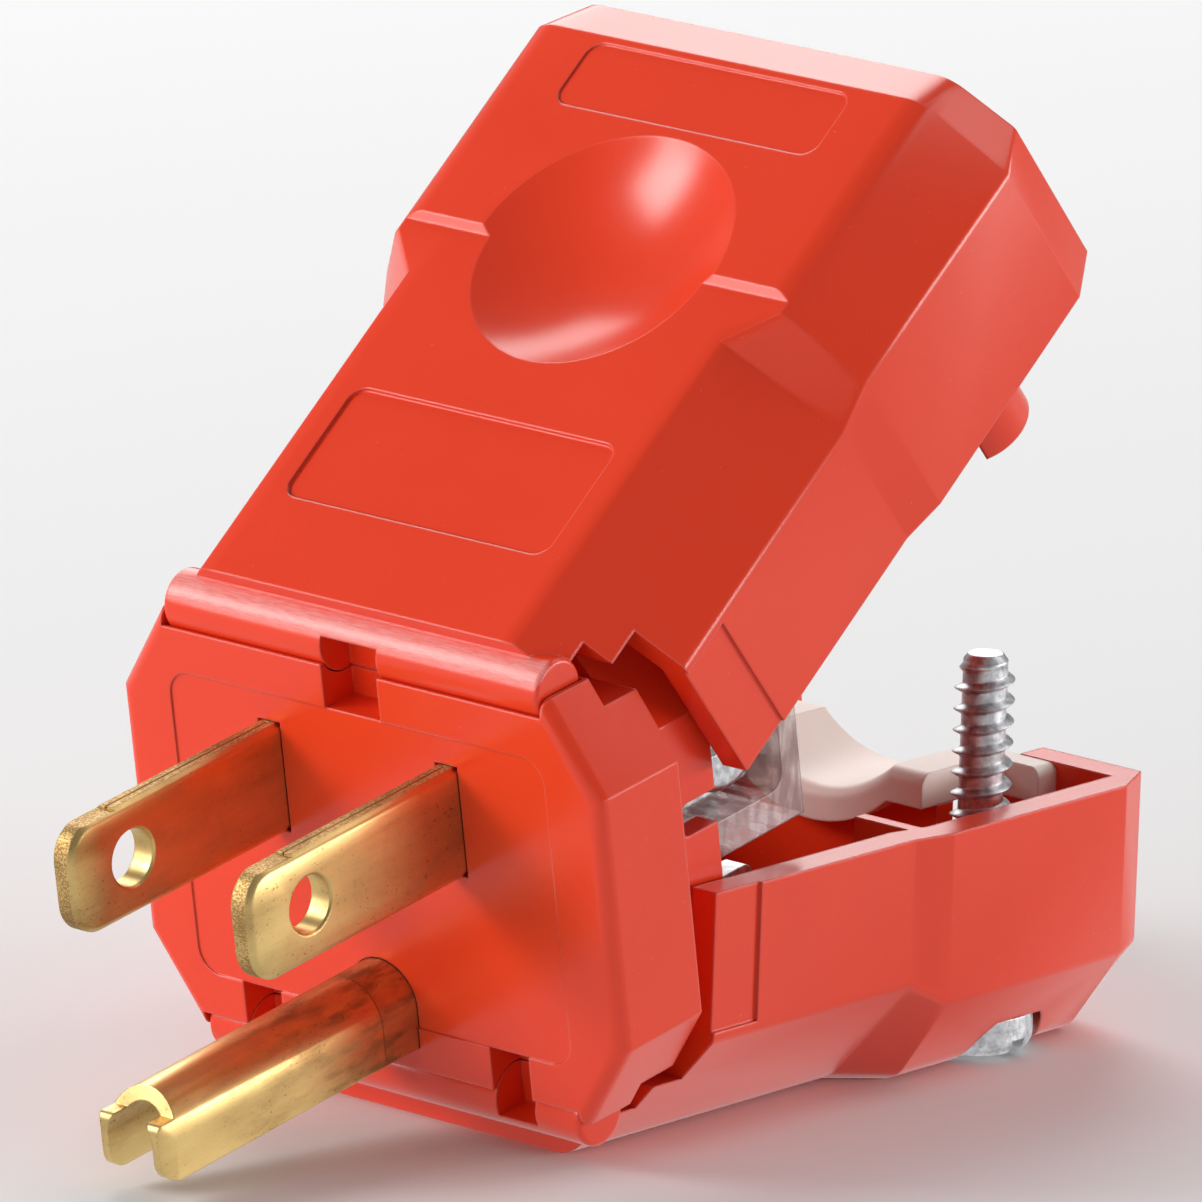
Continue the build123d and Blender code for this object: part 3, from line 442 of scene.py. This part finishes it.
def moulded_plastic(finish):
    """Glossy moulded plastic with a faint skin, slight flow marks, dust specks, and edges painted paler as
    highlight.
    """
    g = Finish("moulded_plastic")
    colour = tuple(finish.housing_colour)
    drift = g.noise(14 * MM, detail=3.0)
    flow = g.noise((22 * MM, 5 * MM, 9 * MM))
    grain = g.noise(0.35 * MM, detail=3.0)
    dust = g.ramp(g.noise(0.16 * MM, detail=0.0), (0.86, 0.0), (0.90, 1.0))
    rounded = g.soft_edges(finish.edge_radius)
    rim = g.rim(rounded)
    # Painted highlight band along the hinge barrel's top, with scuffs in it
    worn = hinge_sheen_and_scuffs(g)
    tone = g.mix(0.6 * drift + 0.4 * flow, shade(colour, 0.92), shade(colour, 1.07))
    # Edges painted paler as a painted highlight, together with real pale dust specks
    tone = g.mix((0.32 * rim + 0.30 * dust).clipped(), tone, paled(colour, 0.22))
    # The barrel's band is painted paler as a painted highlight, broken up by scuffs
    tone = g.mix(0.60 * worn, tone, paled(colour, 0.45))
    return g.surface(
        Base_Color=tone,
        Roughness=0.17 + 0.08 * drift + 0.05 * grain + 0.06 * rim + 0.16 * worn,
        Normal=g.relief(grain, 0.004 * MM, rounded),
        IOR=1.5,
        Specular_IOR_Level=0.5,
    )


def shear_marks(g, tilt):
    """Where a blade's narrow edges are torn by the shear, away from its hole, and the pits of the tear."""
    across = g.part(g.node("ShaderNodeTexCoord", output="Normal"), "X")
    hole_radius = BLADE_HOLE["dims"]["r_mm"] + HOLE_ROOM_MM
    from_hole = g.length(g.along(AROUND_X, start=HOLE_POINT))
    torn = ((SHEAR_FACING - across.size()) / SHEAR_FADE).clipped()
    torn = torn * ((from_hole - hole_radius) / HOLE_ROOM_MM).clipped()
    pits = g.noise((0.14 * MM, 0.10 * MM, 0.10 * MM), detail=4.0, tilt=tilt)
    return torn, g.ramp(pits, (0.40, 0.0), (0.62, 1.0))


def press_marks(g, tilt):
    """How dull the pin is from pressing in: a thin ring, a film inside it and a stain that fades outwards."""
    out = g.part(g.along((MM,) * 3, tilt, FACE_POINT), "Y") * -1
    ring = (1 - (out - RING_OUT_MM).size() / RING_WIDTH_MM).clipped()
    film = ((RING_OUT_MM + FILM_FADE_MM - out) / FILM_FADE_MM).clipped()
    stain = g.noise((0.7 * MM, 2.4 * MM, 0.7 * MM), detail=5.0, tilt=tilt)
    stain = g.ramp(stain, (0.46, 0.0), (0.66, 1.0)) * ((STAIN_END_MM - out) / STAIN_FADE_MM).clipped()
    return 0.75 * ring + 0.16 * film + 0.60 * stain


def drawn_brass(finish, name, tilt=FACE_TILT, sheared=False, pressed=False):
    """Brass strip with fine drawing lines, clouds of patina and specks, and edges painted paler as a painted
    highlight. It can have edges torn by the shear, and the marks of pressing in.
    """
    g = Finish(name)
    brass, patina = tuple(finish.brass_colour), tuple(finish.patina_colour)
    lines = g.noise((0.16 * MM, 9 * MM, 0.16 * MM), tilt=tilt)
    mottle = g.noise((0.30 * MM, 0.55 * MM, 0.30 * MM), detail=3.0, roughness=0.65, tilt=tilt)
    clouds = g.noise((2.6 * MM, 7 * MM, 2.6 * MM), detail=4.0, tilt=tilt)
    clouds = g.ramp(clouds, (0.40, 0.0), (0.74, 1.0))
    specks = g.noise((0.16 * MM, 0.24 * MM, 0.16 * MM), detail=1.0, tilt=tilt)
    specks = g.ramp(specks, (0.67, 0.0), (0.74, 1.0))
    rounded = g.soft_edges(0.12 * MM)
    dull = 0.40 * clouds + 0.30 * mottle * clouds + 0.18 * lines + 0.7 * specks * (0.20 + clouds)
    rough = 0.24 + 0.06 * lines + 0.12 * mottle
    height = 0.5 * mottle + 0.5 * lines
    if sheared:
        torn, pits = shear_marks(g, tilt)
        dull = dull + torn * (0.14 + 0.66 * pits)
        rough = rough + 0.14 * torn
        height = height + 0.8 * torn * pits
    if pressed:
        dull = dull + press_marks(g, tilt)
    dull = dull.clipped()
    # Edges painted paler as a painted highlight
    tone = g.mix(0.20 * g.rim(rounded), g.mix(dull, brass, patina), paled(brass, 0.20))
    return g.surface(
        Base_Color=tone,
        Metallic=1.0,
        Roughness=rough + 0.16 * dull,
        Normal=g.relief(height, 0.0035 * MM, rounded),
    )


def plated_steel(finish, name, colour=None, gloss=0.30):
    """Plated steel with a dull crystalline bloom, painted darker as shade in the hollows of its relief."""
    g = Finish(name)
    colour = tuple(colour or finish.steel_colour)
    bloom = g.noise(0.5 * MM, detail=4.0, roughness=0.6)
    scratch = g.noise((0.08 * MM, 0.08 * MM, 1.2 * MM))
    # Painted shade: the colour darkens where the bloom's relief is low
    tone = g.mix(g.ramp(bloom, (0.30, 0.0), (0.66, 1.0)), shade(colour, 0.50), shade(colour, 1.10))
    return g.surface(
        Base_Color=tone,
        Metallic=1.0,
        Roughness=gloss + 0.16 * bloom + 0.08 * scratch,
        Normal=g.relief(bloom, 0.01 * MM, g.soft_edges(0.10 * MM)),
    )


def moulded_nylon(finish):
    """Pale nylon, slightly waxy, with a cloudy tone."""
    g = Finish("moulded_nylon")
    colour = tuple(finish.nylon_colour)
    clouds = g.noise(5 * MM, detail=3.0)
    grain = g.noise(0.3 * MM)
    return g.surface(
        Base_Color=g.mix(clouds, shade(colour, 0.92), shade(colour, 1.06)),
        Roughness=0.42 + 0.12 * grain,
        Normal=g.relief(grain, 0.006 * MM, g.soft_edges(finish.edge_radius)),
        Subsurface_Weight=0.15,
        Subsurface_Scale=1.5 * MM,
    )


def clear_plastic(finish):
    """Clear moulded plastic: faint ripples, streaks of painted reflection, painted shade at edges, denser
    slant walls.
    """
    g = Finish("clear_plastic")
    clear = tuple(finish.clear_colour)
    ripple = g.noise(2.5 * MM)
    streaks = g.ramp(g.noise((1.6 * MM, 0.8 * MM, 3.0 * MM), detail=3.0), (0.44, 0.0), (0.58, 1.0))
    slant = g.node("ShaderNodeLayerWeight", None, {"Blend": 0.35}, output="Facing")
    rounded = g.soft_edges(0.2 * MM)
    rim = g.rim(rounded)
    # Painted reflection: streaks tinted with the housing's red and shade
    tone = g.mix(0.80 * streaks, clear, tuple(finish.painted_reflection_colour))
    return g.surface(
        # Edges painted darker as painted shade
        Base_Color=g.mix(rim, tone, shade(clear, 0.32)),
        Roughness=0.05 + 0.06 * ripple,
        Normal=g.relief(ripple, 0.02 * MM, rounded),
        Alpha=(0.22 + 0.45 * slant + 0.60 * rim + 0.32 * streaks).least(0.9),
        IOR=1.58,
        Specular_IOR_Level=1.0,
    )


def joined_copy(node, name):
    """A copy of a solid's mesh with the loose corners of its faces joined."""
    mesh = frame["nodes"][node].data.copy()
    mesh.name = name
    joined = bmesh.new()
    joined.from_mesh(mesh)
    bmesh.ops.remove_doubles(joined, verts=joined.verts, dist=MERGE_DISTANCE)
    joined.to_mesh(mesh)
    joined.free()
    if "custom_normal" in mesh.attributes:
        mesh.attributes.remove(mesh.attributes["custom_normal"])
    mesh.materials.clear()
    return mesh


def flat_regions(faces):
    """For each face, whether it lies in a broad flat region."""
    broad, seen = {}, set()
    for start in faces:
        if start in seen:
            continue
        seen.add(start)
        region, queue = [], [start]
        while queue:
            face = queue.pop()
            region.append(face)
            for near in (near for edge in face.edges for near in edge.link_faces):
                if near not in seen and face.normal.angle(near.normal, math.pi) < FLAT_TURN:
                    seen.add(near)
                    queue.append(near)
        corners = [corner.co for face in region for corner in face.verts]
        reach = Vector([max(c[i] for c in corners) - min(c[i] for c in corners) for i in range(3)]).length
        wide = sum(face.calc_area() for face in region) > FLAT_WIDTH * reach
        broad.update((face, wide) for face in region)
    return broad


def split_along(mesh, x):
    """Split a mesh along an upright plane on each side of the middle, so that shading can turn past it."""
    split = bmesh.new()
    split.from_mesh(mesh)
    for side in (x, -x):
        everything = [*split.verts, *split.edges, *split.faces]
        bmesh.ops.bisect_plane(split, geom=everything, plane_co=(side, 0, 0), plane_no=(1, 0, 0))
    split.to_mesh(mesh)
    split.free()


def keep_edges(mesh, limit, soft):
    """Shade a mesh smooth, apart from edges that turn past the limit and shallow ones between broad flats.
    Edges at the distance soft from the middle are worn round.
    """
    shaded = bmesh.new()
    shaded.from_mesh(mesh)
    broad = flat_regions(shaded.faces)
    for face in shaded.faces:
        face.smooth = True
    for edge in shaded.edges:
        if len(edge.link_faces) == 2:
            turn = edge.link_faces[0].normal.angle(edge.link_faces[1].normal, 0.0)
            between = all(broad[face] for face in edge.link_faces)
            worn = soft and all(abs(abs(corner.co.x) - soft) < SOFT_REACH for corner in edge.verts)
            edge.smooth = turn < (SOFT_TURN if worn else FLAT_EDGE if between else limit)
    shaded.to_mesh(mesh)
    shaded.free()


def slot_of(node):
    """The record's material slot of a solid."""
    return next(entry["material_slot"] for entry in RECORD["subparts"] if entry["node"] == node)


def put_in_place(name, mesh, node, limit, soft=None):
    """Shade a mesh and put it in place of a solid, as a piece that moves with the solid's body."""
    keep_edges(mesh, limit, soft)
    piece = bpy.data.objects.new(name, mesh)
    bpy.context.scene.collection.objects.link(piece)
    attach(piece, frame["nodes"][node]["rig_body"])
    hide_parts(node)
    slot_of(node)


def dress(node, name, material, soft=None):
    """Put a solid's own shape in its place in a finish."""
    mesh = joined_copy(node, name)
    if soft:
        split_along(mesh, SOFT_STRIP)
    mesh.materials.append(material)
    put_in_place(name, mesh, node, ROUND_EDGE, soft)


class PLUG_OT_housing(bpy.types.Operator):
    """Dress the front face and the two hinged halves in moulded plastic"""

    bl_idname = "plug.housing"
    bl_label = "Housing"

    def execute(self, context):
        material = moulded_plastic(context.scene.plug_finish)
        for node, soft in {"front_face": None, "upper_housing": SOFT_EDGE, "lower_housing": None}.items():
            dress(node, f"{node}_moulding", material, soft)
        return {"FINISHED"}


class PLUG_OT_contacts(bpy.types.Operator):
    """Dress the two blades and the ground pin in drawn brass"""

    bl_idname = "plug.contacts"
    bl_label = "Contacts"

    def execute(self, context):
        finish = context.scene.plug_finish
        blade = drawn_brass(finish, "blade_brass", sheared=True)
        pin = drawn_brass(finish, "pin_brass", pressed=True)
        for node, material in {"line_blade": blade, "neutral_blade": blade, "ground_pin": pin}.items():
            dress(node, f"{node}_strip", material)
        return {"FINISHED"}


class PLUG_OT_terminals(bpy.types.Operator):
    """Dress the wire terminals' screws and clamp plates"""

    bl_idname = "plug.terminals"
    bl_label = "Terminals"

    def execute(self, context):
        finish = context.scene.plug_finish
        plate = plated_steel(finish, "stamped_plate")
        screws = {
            "line": drawn_brass(finish, "turned_brass", tilt=0.0),
            "neutral": plated_steel(finish, "nickel_screw", gloss=0.22),
            "ground": plated_steel(finish, "dyed_screw", finish.ground_colour, gloss=0.26),
        }
        for terminal, material in screws.items():
            screw, clamp = f"{terminal}_terminal_screw", f"{terminal}_clamp_plate"
            dress(screw, f"{screw}_turned", material)
            dress(clamp, f"{clamp}_stamped", plate)
        return {"FINISHED"}


class PLUG_OT_block(bpy.types.Operator):
    """Dress the clear terminal block"""

    bl_idname = "plug.block"
    bl_label = "Terminal block"

    def execute(self, context):
        dress("terminal_block", "terminal_block_clear", clear_plastic(context.scene.plug_finish))
        return {"FINISHED"}


class PLUG_OT_clamp(bpy.types.Operator):
    """Dress the cord clamp"""

    bl_idname = "plug.clamp"
    bl_label = "Cord clamp"

    def execute(self, context):
        dress("cord_clamp", "cord_clamp_nylon", moulded_nylon(context.scene.plug_finish))
        return {"FINISHED"}


def thread_tree():
    """Geometry nodes that stand a threaded shank on each screw head: a grid whose rows follow the helix."""
    tree = bpy.data.node_groups.new("screw_thread", "GeometryNodeTree")
    g = Graph(tree)
    tree.interface.new_socket("Geometry", in_out="OUTPUT", socket_type="NodeSocketGeometry")
    keys = {}
    for name, kind in (
        ("Heads", "Geometry"), ("Pitch", "Float"), ("Core radius", "Float"), ("Outer radius", "Float"),
        ("Length", "Float"), ("Tip bevel", "Float"), ("Rows", "Int"), ("Rows per turn", "Int"),
        ("Columns", "Int"), ("First", "Vector"), ("Spread", "Vector"), ("Finish", "Material"),
    ):
        socket = tree.interface.new_socket(name, in_out="INPUT", socket_type=f"NodeSocket{kind}")
        keys[name] = socket.identifier
    given = {name: g.node("NodeGroupInput", output=key) for name, key in keys.items()}
    pitch, core, length = given["Pitch"], given["Core radius"], given["Length"]

    grid = g.node("GeometryNodeMeshGrid", None, {
        "Size X": 1.0, "Size Y": 1.0, "Vertices X": given["Rows"], "Vertices Y": given["Columns"]})
    corner = g.node("GeometryNodeInputPosition")
    turn = g.part(corner, "Y") + 0.5
    turns_up = (g.part(corner, "X") + 0.5) * (given["Rows"] - 1) / given["Rows per turn"]
    height = (turns_up - TURNS_BELOW + turn) * pitch
    to_tip = length - height
    from_crest = ((turns_up % 1.0) - 0.5).size()
    ridge = (1 - (from_crest - CREST_FLAT) / CREST_FLANK).clipped() * (to_tip / pitch - RUN_OUT).clipped()
    tip = 1 - TIP_NARROWING * (1 - to_tip / given["Tip bevel"]).clipped()
    closed = (1 - (height - length) / pitch).clipped() * (1 + height / pitch).clipped()
    radius = (core * tip + (given["Outer radius"] - core) * ridge) * closed
    angle = turn * math.tau
    place = g.node("ShaderNodeCombineXYZ", None, {
        "X": radius * angle.cosine(), "Y": radius * angle.sine(), "Z": height.most(0).least(length)})
    shank = g.node("GeometryNodeSetPosition", None, {"Geometry": grid, "Position": place})
    shank = g.node("GeometryNodeMergeByDistance", None, {"Geometry": shank, "Distance": MERGE_DISTANCE})
    shank = g.node("GeometryNodeFlipFaces", None, {"Mesh": shank})
    seats = g.node("GeometryNodeMeshLine", None, {
        "Count": 2, "Start Location": given["First"], "Offset": given["Spread"]})
    shanks = g.node("GeometryNodeInstanceOnPoints", None, {"Points": seats, "Instance": shank})
    whole = g.node("GeometryNodeJoinGeometry", None, {"Geometry": [given["Heads"], shanks]})
    whole = g.node("GeometryNodeRealizeInstances", None, {"Geometry": whole})
    whole = g.node("GeometryNodeSetMaterial", None, {"Geometry": whole, "Material": given["Finish"]})
    g.node("NodeGroupOutput", None, {"Geometry": whole})
    return tree, keys


def screw_heads(name, top):
    """The heads of the assembly screws, cut off at a height just above their seat and closed there."""
    mesh = joined_copy("assembly_screws", name)
    cut = bmesh.new()
    cut.from_mesh(mesh)
    everything = [*cut.verts, *cut.edges, *cut.faces]
    bmesh.ops.bisect_plane(cut, geom=everything, plane_co=(0, 0, top), plane_no=(0, 0, 1), clear_outer=True)
    bmesh.ops.holes_fill(cut, edges=[edge for edge in cut.edges if edge.is_boundary], sides=0)
    cut.to_mesh(mesh)
    cut.free()
    return mesh


class PLUG_OT_screws(bpy.types.Operator):
    """Give the assembly screws their thread"""

    bl_idname = "plug.screws"
    bl_label = "Assembly screws"

    def execute(self, context):
        thread = context.scene.plug_thread
        low, high = (Vector(corner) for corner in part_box("assembly_screws"))
        seat = low.z + thread.head_height
        axis_x = high.x - (high.y - low.y) / 2
        turns = math.ceil((high.z - seat) / thread.pitch) + TURNS_SPARE
        name = "assembly_screws_threaded"
        tree, keys = thread_tree()
        blank = bpy.data.objects.new("screw_blank", screw_heads("screw_heads", seat + CUT_ABOVE))
        context.scene.collection.objects.link(blank)
        grown = blank.modifiers.new("thread", "NODES")
        grown.node_group = tree
        for key, value in {
            "Pitch": thread.pitch,
            "Core radius": thread.core_diameter / 2,
            "Outer radius": thread.outer_diameter / 2,
            "Length": high.z - seat,
            "Tip bevel": thread.tip_bevel,
            "Rows": turns * thread.rows_per_turn + 1,
            "Rows per turn": thread.rows_per_turn,
            "Columns": thread.facets + 1,
            "First": (-axis_x, (low.y + high.y) / 2, seat),
            "Spread": (2 * axis_x, 0, 0),
            "Finish": plated_steel(context.scene.plug_finish, "zinc_steel"),
        }.items():
            grown[keys[key]] = value
        solved = blank.evaluated_get(context.evaluated_depsgraph_get())
        mesh = bpy.data.meshes.new_from_object(solved)
        mesh.name = name
        bpy.data.objects.remove(blank)
        put_in_place(name, mesh, "assembly_screws", THREAD_EDGE)
        return {"FINISHED"}


def soft_box(name, aim, direction, distance, width, height, power):
    """Hang up a rectangular lamp that looks at the aim from a direction."""
    lamp = bpy.data.lights.new(name, "AREA")
    lamp.shape = "RECTANGLE"
    lamp.size, lamp.size_y = width, height
    lamp.energy = power
    holder = bpy.data.objects.new(name, lamp)
    holder.visible_camera = False
    away = Vector(direction).normalized()
    holder.location = aim + away * distance
    holder.rotation_euler = away.to_track_quat("Z", "Y").to_euler()
    bpy.context.scene.collection.objects.link(holder)


class PLUG_OT_stage(bpy.types.Operator):
    """Set the floor, the lamps and the camera"""

    bl_idname = "plug.stage"
    bl_label = "Stage"

    def execute(self, context):
        scene, stage = context.scene, context.scene.plug_stage
        aim = Vector(stage.aim)
        mesh = bpy.data.meshes.new("floor")
        corners = [(x * FLOOR_REACH, y * FLOOR_REACH, 0) for x, y in ((-1, -1), (1, -1), (1, 1), (-1, 1))]
        mesh.from_pydata(corners, [], [(0, 1, 2, 3)])
        floor = bpy.data.objects.new("floor", mesh)
        scene.collection.objects.link(floor)
        g = Finish("pale_floor")
        mesh.materials.append(g.surface(Base_Color=(*stage.floor_colour, 1.0), Roughness=FLOOR_ROUGHNESS))
        g.even_in_gloss(FLOOR_IN_GLOSS)

        for name, values in LAMPS.items():
            soft_box(name, aim, *values)

        world = scene.world or bpy.data.worlds.new("studio")
        scene.world = world
        world.use_nodes = True
        background = world.node_tree.nodes["Background"]
        background.inputs["Color"].default_value = (1.0, 1.0, 1.0, 1.0)
        background.inputs["Strength"].default_value = stage.world_strength

        camera = bpy.data.cameras.new("camera")
        camera.lens = stage.lens
        camera.sensor_width = SENSOR_WIDTH
        camera.clip_end = FARTHEST_SEEN
        holder = bpy.data.objects.new("camera", camera)
        away = Vector((math.sin(stage.azimuth), -math.cos(stage.azimuth), 0)) * math.cos(stage.elevation)
        away.z = math.sin(stage.elevation)
        holder.location = aim + away * stage.distance
        turn = away.to_track_quat("Z", "Y") @ Euler((0, 0, stage.roll)).to_quaternion()
        holder.rotation_euler = turn.to_euler()
        scene.collection.objects.link(holder)
        scene.camera = holder
        scene.view_settings.view_transform = "Standard"
        return {"FINISHED"}


class PLUG_PT_panel(bpy.types.Panel):
    """The plug's operators and values"""

    bl_idname = "PLUG_PT_panel"
    bl_label = "Plug"
    bl_space_type = "VIEW_3D"
    bl_region_type = "UI"
    bl_category = "Plug"

    def draw(self, context):
        for operator in OPERATORS:
            self.layout.operator(operator.bl_idname)
        for group in (context.scene.plug_finish, context.scene.plug_thread, context.scene.plug_stage):
            for name in group.bl_rna.properties.keys():
                if name not in ("name", "rna_type"):
                    self.layout.prop(group, name)


GROUPS = {"plug_finish": PlugFinish, "plug_thread": PlugThread, "plug_stage": PlugStage}
OPERATORS = (
    PLUG_OT_housing,
    PLUG_OT_contacts,
    PLUG_OT_terminals,
    PLUG_OT_block,
    PLUG_OT_clamp,
    PLUG_OT_screws,
    PLUG_OT_stage,
)
CLASSES = (*GROUPS.values(), *OPERATORS, PLUG_PT_panel)


def register():
    for cls in CLASSES:
        bpy.utils.register_class(cls)
    for name, group in GROUPS.items():
        setattr(bpy.types.Scene, name, bpy.props.PointerProperty(type=group))


def unregister():
    for name in GROUPS:
        delattr(bpy.types.Scene, name)
    for cls in reversed(CLASSES):
        bpy.utils.unregister_class(cls)


def main():
    register()
    for operator in OPERATORS:
        group, name = operator.bl_idname.split(".")
        getattr(getattr(bpy.ops, group), name)()


if __name__ == "__main__":
    main()
